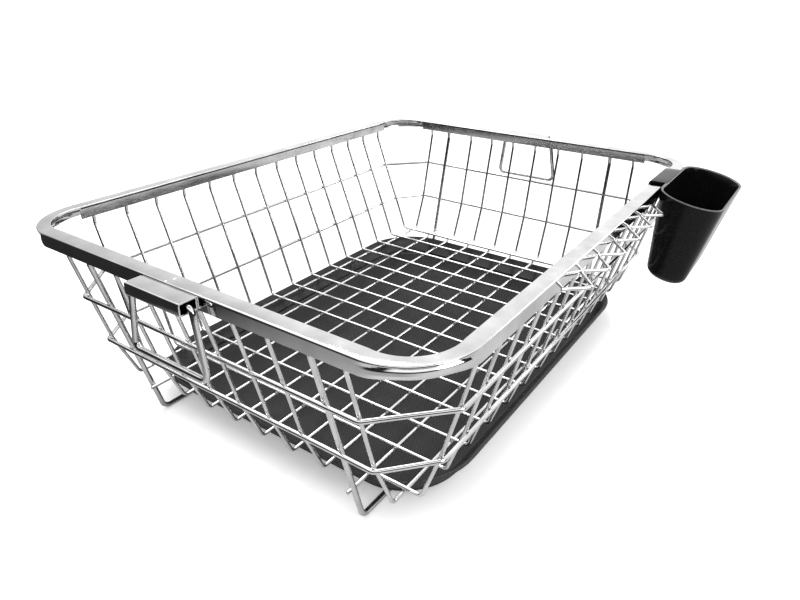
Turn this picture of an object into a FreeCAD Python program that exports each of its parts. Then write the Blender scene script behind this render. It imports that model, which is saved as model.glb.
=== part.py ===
"""Wire dish drying rack: wire basket, sheet rim, bail handles, drip tray and cutlery cup.

Frame: X along the rack's length, Y across it, Z up. The origin is on the surface that the
rack stands on, under the middle of the basket. The front long side is at -Y.
All lengths are millimetres. Each piece is written to parts/NODE.step.
"""
import FreeCAD
import Part
import math
import os

V = FreeCAD.Vector
UP = V(0, 0, 1)

# ---------------------------------------------------------------- driving dimensions
rim_length = 421.0          # outside, along X
rim_width = 327.0           # outside, along Y
rim_corner_r = 40.0         # outside corner radius, seen from above
rim_inner_corner_r = 26.3   # tighter inside, so that the face narrows at the corners
rim_face_w = 9.8            # width of the flat top face
rim_h = 8.8                 # depth of the outer wall
sheet_t = 1.0               # rim and bracket sheet
rim_top_z = 138.5

grid_pitch_x = 24.8         # spacing of the cross wires
grid_pitch_y = 25.0         # spacing of the lengthwise wires
cross_count = 14
long_count = 10
runner_wires = (2, 9)       # lengthwise wires that dip under the tray as runners

grid_d = 2.3
ring_d = 2.8
runner_d = 3.4
rail_d = 2.2
bail_d = 3.6

runner_z = runner_d / 2.0   # centre of the runners, which stand on the surface
floor_z = 25.5              # centre of the cross wires on the basket floor
long_floor_z = floor_z - grid_d
wall_break_z = 124.0        # below this height the walls slope inwards
upper_ring_z = 93.7
lower_ring_z = 57.5
short_side_foot_x = 172.0   # half length of the basket floor
short_side_ring_x = 186.6   # half length at the lower ring
front_foot_y = 124.0        # floor edge on the front side, from the middle
front_ring_y = 136.1        # front wall at the lower ring
back_foot_y = 120.5         # the back wall slopes in a little more
back_ring_y = 131.6
floor_wire_reach = 180.5    # half length of the straight floor wires
floor_bend_r = 4.0
runner_bend_r = 6.0

ring_overrun = 1.5          # rings run this far past the last wire before they turn
ring_bend_r = 5.0

rail_pitch = 28.7           # one zigzag of the hanging rail
rail_teeth = 6
rail_centre_x = 4.0
rail_bend_r = 3.0
rail_reach = 12.5           # how far the points stand out from the rim
rail_droop = 1.2            # the points hang a little lower than the welds

bracket_length = 45.0
bracket_depth = 11.0
bracket_h = 7.6
bracket_drop = 0.7          # bracket top below the rim top
handle_y = 1.8              # both handles sit just off the middle of their side
bail_drop = 41.0
bail_foot_half = 31.0
bail_side_gap = 0.7
bail_pin_length = 8.0
bail_bend_r = 4.5

tray_lip_length = 326.0
tray_lip_width = 258.0
tray_base_length = 306.0
tray_base_width = 238.0
tray_corner_r = 50.0
tray_z = runner_d + 0.3
tray_h = 16.8
tray_wall = 1.8
tray_lip_w = 4.0

cup_x = 135.5
cup_flat_half = 32.5        # half length of the two flat sides of the mouth
cup_bulge = 18.8            # how far each rounded end stands out
cup_depth = 48.0            # across the mouth
cup_h = 76.5
cup_taper = 0.63            # base size over mouth size
cup_wall = 1.8
cup_tilt_deg = 11.0         # the cup leans with the basket wall
cup_gap_y = 1.5             # mouth to rim wall
cup_mouth_z = 140.6
cup_round_r = 8.0
hook_root = 1.2             # the hook's plate starts this deep in the cup's wall
hook_half = 22.0
hook_t = 1.9
hook_lip_t = 1.2
hook_play = 0.6             # hook lip to the rim's inner flange
hook_gap = 0.2              # hook plate to the rim's top face
hook_lip = 5.0

# ---------------------------------------------------------------- derived sizes
half_x = rim_length / 2.0
half_y = rim_width / 2.0
rim_bottom_z = rim_top_z - rim_h
wire_top_z = rim_top_z - sheet_t
flange_outer = rim_face_w - sheet_t
short_side_top_x = half_x - (flange_outer - runner_d + grid_d / 2.0) + 0.05
long_side_top_y = half_y - (flange_outer - grid_d / 2.0)
short_slope = (short_side_top_x - short_side_ring_x) / (wall_break_z - lower_ring_z)


def cross_x(number):
    """X of a cross wire, numbered from 1 at the -X end."""
    return (number - (cross_count + 1) / 2.0) * grid_pitch_x


def long_y(number):
    """Y of a lengthwise wire, numbered from 1 at the +Y side."""
    return ((long_count + 1) / 2.0 - number) * grid_pitch_y


def save(shape, node):
    """Write one node after checking that it is valid."""
    if not shape.isValid():
        raise ValueError(node + " is not valid")
    shape.exportStep(os.path.join("parts", node + ".step"))
    print(node, len(shape.Solids), "solid(s)", round(shape.Volume, 1), "mm3")


# ---------------------------------------------------------------- bent wire
def rounded_route(points, bend_r, closed=False):
    """Straight runs and tangent arcs through the points.

    Returns a list of ("line", start, end) and ("arc", start, centre, axis, degrees).
    """
    count = len(points)
    corners = {}
    numbers = range(count) if closed else range(1, count - 1)
    for k in numbers:
        here = points[k]
        before = (points[k - 1] - here).normalize()
        after = (points[(k + 1) % count] - here).normalize()
        inside = before.getAngle(after)
        turn = math.pi - inside
        setback = bend_r * math.tan(turn / 2.0)
        start = here + before * setback
        bisector = (before + after).normalize()
        centre = here + bisector * (bend_r / math.sin(inside / 2.0))
        axis = (before * -1.0).cross(after).normalize()
        end = here + after * setback
        corners[k] = (start, end, centre, axis, math.degrees(turn))
    runs = []
    last = count if closed else count - 1
    for k in range(last):
        following = (k + 1) % count
        start = corners[k][1] if k in corners else points[k]
        end = corners[following][0] if following in corners else points[following]
        if (end - start).Length > 1e-6:
            runs.append(("line", start, end))
        if following in corners:
            arc_start, _, centre, axis, degrees = corners[following]
            runs.append(("arc", arc_start, centre, axis, degrees))
    return runs


def bent_wire(points, diameter, bend_r, closed=False):
    """Round wire along the points, with the same radius at every bend."""
    pieces = []
    for run in rounded_route(points, bend_r, closed):
        if run[0] == "line":
            _, start, end = run
            along = end - start
            disc = Part.Face(Part.Wire(Part.makeCircle(diameter / 2.0, start, along)))
            pieces.append(disc.extrude(along))
        else:
            _, start, centre, axis, degrees = run
            tangent = axis.cross(start - centre)
            disc = Part.Face(Part.Wire(Part.makeCircle(diameter / 2.0, start, tangent)))
            pieces.append(disc.revolve(centre, axis, degrees))
    solid = pieces[0].multiFuse(pieces[1:]).removeSplitter()
    return solid.Solids[0]


# ---------------------------------------------------------------- sheet rim
def rounded_rectangle(half_length, half_breadth, corner_r, z):
    """Closed outline of a rounded rectangle centred on the Z axis."""
    x = half_length - corner_r
    y = half_breadth - corner_r
    edges = []
    for k, (cx, cy) in enumerate(((x, y), (-x, y), (-x, -y), (x, -y))):
        first = math.radians(90 * k)
        stops = [first, first + math.pi / 4.0, first + math.pi / 2.0]
        arc = [V(cx + corner_r * math.cos(a), cy + corner_r * math.sin(a), z) for a in stops]
        if edges:
            edges.append(Part.LineSegment(edges[-1].lastVertex().Point, arc[0]).toShape())
        edges.append(Part.Arc(*arc).toShape())
    edges.append(Part.LineSegment(edges[-1].lastVertex().Point,
                                  edges[0].firstVertex().Point).toShape())
    return Part.Wire(edges)


def rim_prism(inset, z, height):
    """Solid prism of the rim's outline, moved in by inset."""
    outline = rounded_rectangle(half_x - inset, half_y - inset, rim_corner_r - inset, z)
    return Part.Face(outline).extrude(UP * height)


def rim_band():
    """Flat top face, full outer wall, and an inner flange on the four straights only."""
    opening = rounded_rectangle(half_x - rim_face_w, half_y - rim_face_w, rim_inner_corner_r,
                                wire_top_z)
    top = rim_prism(0, wire_top_z, sheet_t).cut(Part.Face(opening).extrude(UP * sheet_t))
    wall_h = rim_h - sheet_t
    wall = rim_prism(0, rim_bottom_z, wall_h).cut(rim_prism(sheet_t, rim_bottom_z, wall_h))
    flange = rim_prism(rim_face_w - sheet_t, rim_bottom_z, wall_h).cut(
        rim_prism(rim_face_w, rim_bottom_z, wall_h))
    straight_x = half_x - rim_corner_r
    straight_y = half_y - rim_corner_r
    lengthwise = Part.makeBox(2 * straight_x, rim_width, wall_h,
                              V(-straight_x, -half_y, rim_bottom_z))
    across = Part.makeBox(rim_length, 2 * straight_y, wall_h,
                          V(-half_x, -straight_y, rim_bottom_z))
    flange = flange.common(lengthwise.fuse(across))
    return top.fuse([wall, flange]).removeSplitter().Solids[0]


# ---------------------------------------------------------------- basket wires
def short_wall_points(sign, y, inset=0.0):
    """Top, break and lower-ring points of a wire on a short wall."""
    return [V(sign * (short_side_top_x - inset), y, wire_top_z),
            V(sign * (short_side_top_x - inset), y, wall_break_z),
            V(sign * (short_side_ring_x - inset), y, lower_ring_z)]


def cross_wire(number):
    """One U-shaped wire across the rack: down, over the floor and up."""
    x = cross_x(number)
    back = [V(x, long_side_top_y, wire_top_z), V(x, long_side_top_y, wall_break_z),
            V(x, back_ring_y, lower_ring_z), V(x, back_foot_y, floor_z)]
    front = [V(x, -long_side_top_y, wire_top_z), V(x, -long_side_top_y, wall_break_z),
             V(x, -front_ring_y, lower_ring_z), V(x, -front_foot_y, floor_z)]
    return bent_wire(back + front[::-1], grid_d, floor_bend_r)


def long_wire(number):
    """One U-shaped wire along the rack, under the cross wires."""
    y = long_y(number)
    near = short_wall_points(-1, y) + [V(-short_side_foot_x, y, long_floor_z)]
    far = short_wall_points(1, y) + [V(short_side_foot_x, y, long_floor_z)]
    return bent_wire(near + far[::-1], grid_d, floor_bend_r)


def runner_wire(number):
    """Thick wire just outside a floor wire; its straight run carries tray and rack."""
    y = long_y(number)
    y += math.copysign((runner_d + grid_d) / 2.0, y)
    thicker = (runner_d - grid_d) / 2.0
    inset = thicker / math.cos(math.atan(short_slope))
    drop = lower_ring_z - runner_z
    foot_x = short_side_ring_x - inset - short_slope * drop
    points = [short_wall_points(-1, y, inset)[0], short_wall_points(-1, y, inset)[1],
              V(-foot_x, y, runner_z)]
    other = [V(-p.x, p.y, p.z) for p in reversed(points)]
    return bent_wire(points + other, runner_d, runner_bend_r)


def floor_wire(number):
    """Straight wire welded beside a runner's legs, its ends just outside them."""
    start = V(-floor_wire_reach, long_y(number), long_floor_z)
    return Part.makeCylinder(grid_d / 2.0, 2 * floor_wire_reach, start, V(1, 0, 0))


def ring_offset(top, at_ring, z):
    """Centre of a ring laid against the outside of a wall, at height z."""
    slope = (top - at_ring) / (wall_break_z - lower_ring_z)
    contact = (grid_d + ring_d) / 2.0 / math.cos(math.atan(slope))
    return at_ring + slope * (z - lower_ring_z) + contact


def ring(z):
    """Closed ring welded outside the upright wires, cut straight across each corner."""
    x = ring_offset(short_side_top_x, short_side_ring_x, z)
    back = ring_offset(long_side_top_y, back_ring_y, z)
    front = ring_offset(long_side_top_y, front_ring_y, z)
    last_x = cross_x(cross_count) + ring_overrun
    last_y = long_y(1) + ring_overrun
    points = [V(x, -last_y, z), V(x, last_y, z), V(last_x, back, z), V(-last_x, back, z),
              V(-x, last_y, z), V(-x, -last_y, z), V(-last_x, -front, z), V(last_x, -front, z)]
    return bent_wire(points, ring_d, ring_bend_r, closed=True)


def hanging_rail():
    """Zigzag of wire welded under the front edge of the rim, its points hanging lower."""
    inner_y = -half_y + sheet_t
    outer_y = -half_y - rail_reach
    z = rim_bottom_z - rail_d / 2.0
    start_x = rail_centre_x - rail_pitch * rail_teeth / 2.0
    points = []
    for tooth in range(rail_teeth):
        x = start_x + tooth * rail_pitch
        points.append(V(x, inner_y, z))
        points.append(V(x + rail_pitch / 2.0, outer_y, z - rail_droop))
    points.append(V(start_x + rail_pitch * rail_teeth, inner_y, z))
    return bent_wire(points, rail_d, rail_bend_r)


# ---------------------------------------------------------------- handles
def handle_bracket(sign):
    """Rectangular sheet tube along the rim's outer wall, open at both ends."""
    top = rim_top_z - bracket_drop
    low_x = half_x if sign > 0 else -half_x - bracket_depth
    corner = V(low_x, handle_y - bracket_length / 2.0, top - bracket_h)
    outer = Part.makeBox(bracket_depth, bracket_length, bracket_h, corner)
    inner = Part.makeBox(bracket_depth - 2 * sheet_t, bracket_length, bracket_h - 2 * sheet_t,
                         corner + V(sheet_t, 0, sheet_t))
    edges = [e for e in outer.Edges if abs(e.tangentAt(e.FirstParameter).y) > 0.9
             and e.CenterOfMass.z > top - 0.1 and abs(e.CenterOfMass.x) > half_x + 1.0]
    return outer.makeFillet(0.8, edges).cut(inner)


def bail_handle(sign):
    """Wire bail hanging from its two turned-in ends inside the bracket."""
    x = sign * (half_x + bracket_depth / 2.0)
    pivot = rim_top_z - bracket_drop - bracket_h / 2.0
    leg = bracket_length / 2.0 + bail_side_gap + bail_d / 2.0
    half = [V(x, leg - bail_pin_length, pivot), V(x, leg, pivot),
            V(x, bail_foot_half, pivot - bail_drop)]
    other = [V(x, -p.y, p.z) for p in reversed(half)]
    points = [p + V(0, handle_y, 0) for p in half + other]
    return bent_wire(points, bail_d, bail_bend_r)


# ---------------------------------------------------------------- drip tray
def tray_outline(z, share, inset):
    """Tray outline: share 0 at the base and 1 at the lip, moved in by inset."""
    length = tray_base_length + (tray_lip_length - tray_base_length) * share
    width = tray_base_width + (tray_lip_width - tray_base_width) * share
    return rounded_rectangle(length / 2.0 - inset, width / 2.0 - inset,
                             tray_corner_r - inset, z)


def drip_tray():
    """Shallow flared tray with a flat floor and a narrow flat lip."""
    top = tray_z + tray_h
    lip_share = 1.0 - tray_lip_w * 2.0 / (tray_lip_length - tray_base_length)
    body = Part.makeLoft([tray_outline(tray_z, 0.0, 0.0), tray_outline(top, lip_share, 0.0)],
                         True, True)
    hollow = Part.makeLoft([tray_outline(tray_z + tray_wall, 0.0, tray_wall),
                            tray_outline(top + 0.1, lip_share, tray_wall)], True, True)
    lip = Part.Face(tray_outline(top - tray_wall, 1.0, 0.0)).extrude(UP * tray_wall)
    return body.fuse(lip).cut(hollow).removeSplitter().Solids[0]


# ---------------------------------------------------------------- cutlery cup
def cup_outline(scale, inset, depth_below):
    """Mouth-shaped outline in the cup's own frame: flats along X, rounded ends, Z up."""
    flat = cup_flat_half * scale
    bulge = cup_bulge * scale - inset
    half_depth = cup_depth / 2.0 * scale - inset
    middle = -cup_depth / 2.0
    z = -depth_below
    corners = [V(flat, middle + half_depth, z), V(flat + bulge, middle, z),
               V(flat, middle - half_depth, z), V(-flat, middle - half_depth, z),
               V(-flat - bulge, middle, z), V(-flat, middle + half_depth, z)]
    ends = []
    for side, (first, tip, last) in ((1, corners[0:3]), (-1, corners[3:6])):
        swell = side * (flat + bulge * 0.72)
        high = V(swell, middle + side * half_depth * 0.69, z)
        low = V(swell, middle - side * half_depth * 0.69, z)
        curve = Part.BSplineCurve()
        curve.interpolate([first, high, tip, low, last])
        ends.append(curve.toShape())
    right, left = ends
    near = Part.LineSegment(corners[5], corners[0]).toShape()
    far = Part.LineSegment(corners[2], corners[3]).toShape()
    return Part.Wire([near, right, far, left])


def cup_scale(depth_below):
    """Straight taper from the mouth down to the base."""
    return 1.0 - (1.0 - cup_taper) * depth_below / cup_h


def cup_loft(inset, bottom):
    """Closed tapered body, with its lower edge eased by the rounding radius."""
    shoulder = bottom - cup_round_r
    mid = bottom - cup_round_r * 0.3
    depths = [0.0, shoulder, mid, bottom]
    eases = [0.0, 0.0, cup_round_r * 0.3, cup_round_r]
    wires = [cup_outline(cup_scale(d), inset + e, d) for d, e in zip(depths, eases)]
    return Part.makeLoft(wires, True, True)


def cutlery_cup():
    """Moulded cup with a hook that sits over the rim."""
    body = cup_loft(0.0, cup_h).cut(cup_loft(cup_wall, cup_h - cup_wall))
    body.rotate(V(0, 0, 0), V(1, 0, 0), cup_tilt_deg)
    body.translate(V(cup_x, -half_y - cup_gap_y, cup_mouth_z))
    return body.fuse(cup_hook()).removeSplitter().Solids[0]


def cup_hook():
    """Flat plate over the rim's top face with a lip down inside the flange."""
    plate_low = rim_top_z + hook_gap
    outer_y = -half_y - cup_gap_y - hook_root
    lip_y = -half_y + rim_face_w + hook_play
    plate = Part.makeBox(2 * hook_half, lip_y + hook_lip_t - outer_y, hook_t,
                         V(cup_x - hook_half, outer_y, plate_low))
    lip = Part.makeBox(2 * hook_half, hook_lip_t, hook_lip,
                       V(cup_x - hook_half, lip_y, plate_low - hook_lip))
    return plate.fuse(lip)


def main():
    """Build every node."""
    os.makedirs("parts", exist_ok=True)
    save(rim_band(), "rim_band")
    for number in range(1, cross_count + 1):
        save(cross_wire(number), "cross_wire_%02d" % number)
    for number in range(1, long_count + 1):
        if number in runner_wires:
            save(runner_wire(number), "runner_wire_%02d" % number)
            save(floor_wire(number), "floor_wire_%02d" % number)
        else:
            save(long_wire(number), "long_wire_%02d" % number)
    save(ring(upper_ring_z), "upper_ring")
    save(ring(lower_ring_z), "lower_ring")
    save(hanging_rail(), "hanging_rail")
    for sign, side in ((-1, "left"), (1, "right")):
        save(handle_bracket(sign), side + "_handle_bracket")
        save(bail_handle(sign), side + "_bail_handle")
    save(drip_tray(), "drip_tray")
    save(cutlery_cup(), "cutlery_cup")


main()
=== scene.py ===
"""Wire dish drying rack: its looks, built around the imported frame.

Each sub-assembly is a class that holds its sizes and builds and dresses its own pieces. All
lengths are metres, in the frame's axes: X along the rack, Y across it, Z up, with the front
long side at -Y. Every new mesh is a grid of points worked out with numpy.
"""
import logging
import math
from dataclasses import dataclass, field
from enum import Enum

import bpy
import numpy as np
from mathutils import Matrix, Vector


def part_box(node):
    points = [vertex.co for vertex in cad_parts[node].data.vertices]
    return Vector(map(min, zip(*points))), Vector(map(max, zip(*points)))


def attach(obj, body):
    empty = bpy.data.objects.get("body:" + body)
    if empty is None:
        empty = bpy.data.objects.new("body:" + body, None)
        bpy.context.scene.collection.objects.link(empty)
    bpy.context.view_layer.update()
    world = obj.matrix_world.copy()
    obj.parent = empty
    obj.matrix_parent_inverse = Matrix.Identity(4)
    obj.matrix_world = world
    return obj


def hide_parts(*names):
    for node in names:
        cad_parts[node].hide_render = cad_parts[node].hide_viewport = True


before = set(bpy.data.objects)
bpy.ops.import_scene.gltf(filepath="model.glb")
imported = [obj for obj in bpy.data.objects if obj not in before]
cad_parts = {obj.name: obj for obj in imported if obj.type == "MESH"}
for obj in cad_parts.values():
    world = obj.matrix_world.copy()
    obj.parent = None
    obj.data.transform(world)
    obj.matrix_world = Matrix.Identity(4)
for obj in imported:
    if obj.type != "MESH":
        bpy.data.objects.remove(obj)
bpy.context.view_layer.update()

log = logging.getLogger("dish_rack")
MM = 0.001
CROSS_COUNT = 14
LONG_COUNT = 10
RUNNER_NUMBERS = (2, 9)


class Body(Enum):
    """The rigid bodies that pieces ride on."""

    BASKET = "basket"
    LEFT_BAIL = "left_bail"
    RIGHT_BAIL = "right_bail"
    TRAY = "tray"
    CUP = "cup"


class Slot(Enum):
    """The record's material slots."""

    WIRE = "wire_steel"
    RIM = "rim_steel"
    TRAY = "tray_plastic"
    CUP = "cup_plastic"


class Side(Enum):
    """The two short ends of the rack, by the sign of X."""

    LEFT = -1
    RIGHT = 1


# ------------------------------------------------------------------------------ finishes
@dataclass
class NodeSheet:
    """A material's node tree, with short ways to add and join nodes."""

    name: str
    material: bpy.types.Material = field(init=False)

    def __post_init__(self) -> None:
        """Start a material with one Principled shader."""
        self.material = bpy.data.materials.new(self.name)
        self.material.use_nodes = True
        self.nodes = self.material.node_tree.nodes
        self.links = self.material.node_tree.links
        self.shader = self.nodes["Principled BSDF"]
        self.coordinates = self.nodes.new("ShaderNodeTexCoord")

    def set(self, **sockets: object) -> None:
        """Set constants straight on the shader's sockets.

        Args:
            sockets: socket names with underscores for spaces, and their values.
        """
        for name, value in sockets.items():
            self.shader.inputs[name.replace("_", " ")].default_value = value

    def mapped(self, scale: tuple[float, float, float]) -> bpy.types.NodeSocket:
        """Object coordinates stretched by scale.

        Args:
            scale: repeats per metre along X, Y and Z.

        Returns:
            The vector socket.
        """
        mapping = self.nodes.new("ShaderNodeMapping")
        mapping.inputs["Scale"].default_value = scale
        self.links.new(self.coordinates.outputs["Object"], mapping.inputs["Vector"])
        return mapping.outputs["Vector"]

    def noise(self, scale: tuple[float, float, float], detail: float = 3.0) -> bpy.types.NodeSocket:
        """Fractal noise over the object's own space.

        Args:
            scale: repeats per metre along each axis.
            detail: number of octaves.

        Returns:
            The noise value socket.
        """
        noise = self.nodes.new("ShaderNodeTexNoise")
        noise.inputs["Scale"].default_value = 1.0
        noise.inputs["Detail"].default_value = detail
        self.links.new(self.mapped(scale), noise.inputs["Vector"])
        return noise.outputs["Fac"]

    def remap(self, value: bpy.types.NodeSocket, old: tuple[float, float],
              new: tuple[float, float]) -> bpy.types.NodeSocket:
        """Carry a value from one range to another, clamped.

        Args:
            value: the socket to read.
            old: its low and high.
            new: the low and high to give.

        Returns:
            The remapped socket.
        """
        remap = self.nodes.new("ShaderNodeMapRange")
        for name, number in zip(("From Min", "From Max", "To Min", "To Max"), old + new):
            remap.inputs[name].default_value = number
        self.links.new(value, remap.inputs["Value"])
        return remap.outputs["Result"]

    def blend(self, value: bpy.types.NodeSocket, low: tuple[float, float, float],
              high: tuple[float, float, float]) -> bpy.types.NodeSocket:
        """Mix two colours by a value.

        Args:
            value: the factor socket.
            low: colour at 0.
            high: colour at 1.

        Returns:
            The colour socket.
        """
        mix = self.nodes.new("ShaderNodeMix")
        mix.data_type = "RGBA"
        mix.inputs["A"].default_value = (*low, 1.0)
        mix.inputs["B"].default_value = (*high, 1.0)
        self.links.new(value, mix.inputs["Factor"])
        return mix.outputs["Result"]

    def maths(self, operation: str, first: bpy.types.NodeSocket | float,
              second: bpy.types.NodeSocket | float = 0.0) -> bpy.types.NodeSocket:
        """One arithmetic step.

        Args:
            operation: the Math node's operation.
            first: left value or socket.
            second: right value or socket.

        Returns:
            The result socket.
        """
        node = self.nodes.new("ShaderNodeMath")
        node.operation = operation
        for slot_number, value in enumerate((first, second)):
            if isinstance(value, (int, float)):
                node.inputs[slot_number].default_value = value
            else:
                self.links.new(value, node.inputs[slot_number])
        return node.outputs["Value"]

    def feed(self, socket: str, value: bpy.types.NodeSocket) -> None:
        """Join a value to one of the shader's sockets."""
        self.links.new(value, self.shader.inputs[socket])

    def bump(self, height: bpy.types.NodeSocket, distance: float, strength: float,
             under: bpy.types.NodeSocket | None = None) -> bpy.types.NodeSocket:
        """Raise the surface by a height.

        Args:
            height: the height socket, 0 to 1.
            distance: metres at height 1.
            strength: 0 to 1.
            under: another bump's normal to add to.

        Returns:
            The normal socket.
        """
        node = self.nodes.new("ShaderNodeBump")
        node.inputs["Distance"].default_value = distance
        node.inputs["Strength"].default_value = strength
        self.links.new(height, node.inputs["Height"])
        if under is not None:
            self.links.new(under, node.inputs["Normal"])
        return node.outputs["Normal"]


@dataclass(frozen=True)
class PolishedSteel:
    """Bright steel with faint smears, drawn lines and a slightly uneven polish."""

    name: str
    dark: tuple[float, float, float] = (0.60, 0.60, 0.605)
    bright: tuple[float, float, float] = (0.80, 0.80, 0.80)
    rough_low: float = 0.06
    rough_high: float = 0.17
    smear_scale: float = 60.0
    grain_scale: float = 900.0
    ripple_scale: float = 45.0
    ripple_height: float = 0.0002
    ripple_strength: float = 0.10

    def material(self) -> bpy.types.Material:
        """Build the material.

        Returns:
            The finished steel.
        """
        sheet = NodeSheet(self.name)
        sheet.set(Metallic=1.0)
        smear = sheet.noise((self.smear_scale,) * 3, 5.0)
        grain = sheet.noise((self.grain_scale,) * 3, 2.0)
        ripple = sheet.noise((self.ripple_scale,) * 3, 1.0)
        sheet.feed("Base Color", sheet.blend(sheet.remap(smear, (0.3, 0.7), (0.0, 1.0)),
                                             self.dark, self.bright))
        worn = sheet.maths("MULTIPLY", smear, grain)
        sheet.feed("Roughness", sheet.remap(worn, (0.12, 0.4), (self.rough_low, self.rough_high)))
        wavy = sheet.bump(ripple, self.ripple_height, self.ripple_strength)
        sheet.feed("Normal", sheet.bump(grain, 0.00002, 0.15, wavy))
        return sheet.material


@dataclass(frozen=True)
class GlossPlastic:
    """Black moulded plastic with a wet gloss, faint flow marks and dust."""

    name: str
    body: tuple[float, float, float] = (0.004, 0.004, 0.0043)
    dust: tuple[float, float, float] = (0.010, 0.010, 0.0105)
    rough_low: float = 0.10
    rough_high: float = 0.24
    shine: float = 0.5
    flow_scale: float = 35.0
    dust_scale: float = 700.0

    def material(self) -> bpy.types.Material:
        """Build the material.

        Returns:
            The finished plastic.
        """
        sheet = NodeSheet(self.name)
        sheet.set(IOR=1.5, Specular_IOR_Level=self.shine)
        flow = sheet.noise((self.flow_scale, self.flow_scale, self.flow_scale / 4.0), 4.0)
        specks = sheet.noise((self.dust_scale,) * 3, 2.0)
        sheet.feed("Base Color", sheet.blend(sheet.remap(specks, (0.5, 0.75), (0.0, 1.0)),
                                             self.body, self.dust))
        sheet.feed("Roughness", sheet.remap(flow, (0.3, 0.7), (self.rough_low, self.rough_high)))
        soft = sheet.bump(flow, 0.0002, 0.12)
        sheet.feed("Normal", sheet.bump(specks, 0.00002, 0.2, soft))
        return sheet.material


@dataclass(frozen=True)
class WovenPlastic:
    """Charcoal moulded plastic with a fine basket pattern of raised dashes."""

    name: str
    pitch: float = 1.9 * MM
    # painted shade: the colour given to the weave's hollows is darker than the ridges only as painted shade
    valley_painted_shade: tuple[float, float, float] = (0.006, 0.006, 0.006)
    ridge: tuple[float, float, float] = (0.034, 0.034, 0.035)
    relief: float = 0.0002
    shine: float = 0.22

    def material(self) -> bpy.types.Material:
        """Build the material: a chequer of dashes, each the product of a wave along and across.

        Returns:
            The finished plastic.
        """
        sheet = NodeSheet(self.name)
        sheet.set(IOR=1.46, Specular_IOR_Level=self.shine)
        turn = 2.0 * math.pi / self.pitch
        split = sheet.nodes.new("ShaderNodeSeparateXYZ")
        sheet.links.new(sheet.coordinates.outputs["Object"], split.inputs["Vector"])
        along = sheet.maths("SINE", sheet.maths("MULTIPLY", split.outputs["X"], turn / 2.0))
        across = sheet.maths("SINE", sheet.maths("MULTIPLY", split.outputs["Y"], turn))
        weave = sheet.remap(sheet.maths("MULTIPLY", along, across), (-0.7, 0.7), (0.0, 1.0))
        mottle = sheet.noise((40.0, 40.0, 40.0), 5.0)
        grain = sheet.noise((1500.0,) * 3, 2.0)
        shade = sheet.maths("MULTIPLY", weave, sheet.remap(mottle, (0.3, 0.7), (0.55, 1.0)))
        # the weave's valleys carry painted shade; the mottle is the plastic's own uneven tone
        sheet.feed("Base Color", sheet.blend(shade, self.valley_painted_shade, self.ridge))
        sheet.feed("Roughness", sheet.remap(mottle, (0.3, 0.7), (0.42, 0.62)))
        woven = sheet.bump(weave, self.relief, 0.6)
        sheet.feed("Normal", sheet.bump(grain, 0.00003, 0.3, woven))
        return sheet.material


# ------------------------------------------------------------------------------ surfaces
@dataclass
class Surface:
    """Points and faces of a mesh, held as arrays until it is made into an object."""

    points: np.ndarray
    faces: list[np.ndarray]
    groups: list[int] = field(default_factory=list)

    def __post_init__(self) -> None:
        """Give every block of faces the first material unless told otherwise."""
        if not self.groups:
            self.groups = [0] * len(self.faces)

    @classmethod
    def joined(cls, parts: list["Surface"]) -> "Surface":
        """Several surfaces in one mesh.

        Args:
            parts: the surfaces.

        Returns:
            One surface that holds them all.
        """
        offsets = np.cumsum([0] + [len(part.points) for part in parts[:-1]])
        points = np.concatenate([part.points for part in parts])
        faces = [block + offset for part, offset in zip(parts, offsets) for block in part.faces]
        groups = [group for part in parts for group in part.groups]
        return cls(points, faces, groups)

    def outward(self) -> "Surface":
        """Turn every face over if the enclosed volume comes out negative.

        The volume is the sum, over triangles fanned from each face's first corner, of the
        triple product of the three corners, over six.

        Returns:
            The surface with its faces pointing outwards.
        """
        volume = 0.0
        for block in self.faces:
            corners = self.points[block]
            first = corners[:, :1]
            crossed = np.cross(corners[:, 1:-1], corners[:, 2:])
            volume += float(np.sum(first * crossed)) / 6.0
        if volume < 0.0:
            self.faces = [block[:, ::-1] for block in self.faces]
        return self


def grid_faces(rows: int, columns: int, wrap_rows: bool, wrap_columns: bool) -> np.ndarray:
    """Quads between neighbouring points of a grid stored row by row.

    Args:
        rows: number of rows.
        columns: number of columns.
        wrap_rows: the last row meets the first.
        wrap_columns: the last column meets the first.

    Returns:
        An (n, 4) array of point numbers.
    """
    row = np.arange(rows if wrap_rows else rows - 1)[:, None]
    column = np.arange(columns if wrap_columns else columns - 1)[None, :]
    next_row = (row + 1) % rows
    next_column = (column + 1) % columns
    corners = (row * columns + column, row * columns + next_column,
               next_row * columns + next_column, next_row * columns + column)
    return np.stack([np.broadcast_to(c, (row.size, column.size)).ravel() for c in corners], axis=1)


def closed_shell(grid: np.ndarray) -> Surface:
    """A grid whose columns wrap, closed by one flat face at each end row.

    Args:
        grid: (rows, columns, 3) points.

    Returns:
        The closed surface.
    """
    rows, columns, _ = grid.shape
    points = grid.reshape(-1, 3)
    start = np.arange(columns)[::-1][None, :]
    end = (np.arange(columns) + (rows - 1) * columns)[None, :]
    return Surface(points, [grid_faces(rows, columns, False, True), start, end]).outward()


def ring_shell(grid: np.ndarray) -> Surface:
    """A grid that wraps both ways, such as a closed band or ring.

    Args:
        grid: (rows, columns, 3) points.

    Returns:
        The closed surface.
    """
    rows, columns, _ = grid.shape
    return Surface(grid.reshape(-1, 3), [grid_faces(rows, columns, True, True)]).outward()


def unit(vectors: np.ndarray) -> np.ndarray:
    """Vectors scaled to length one along the last axis."""
    return vectors / np.linalg.norm(vectors, axis=-1, keepdims=True)


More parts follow.
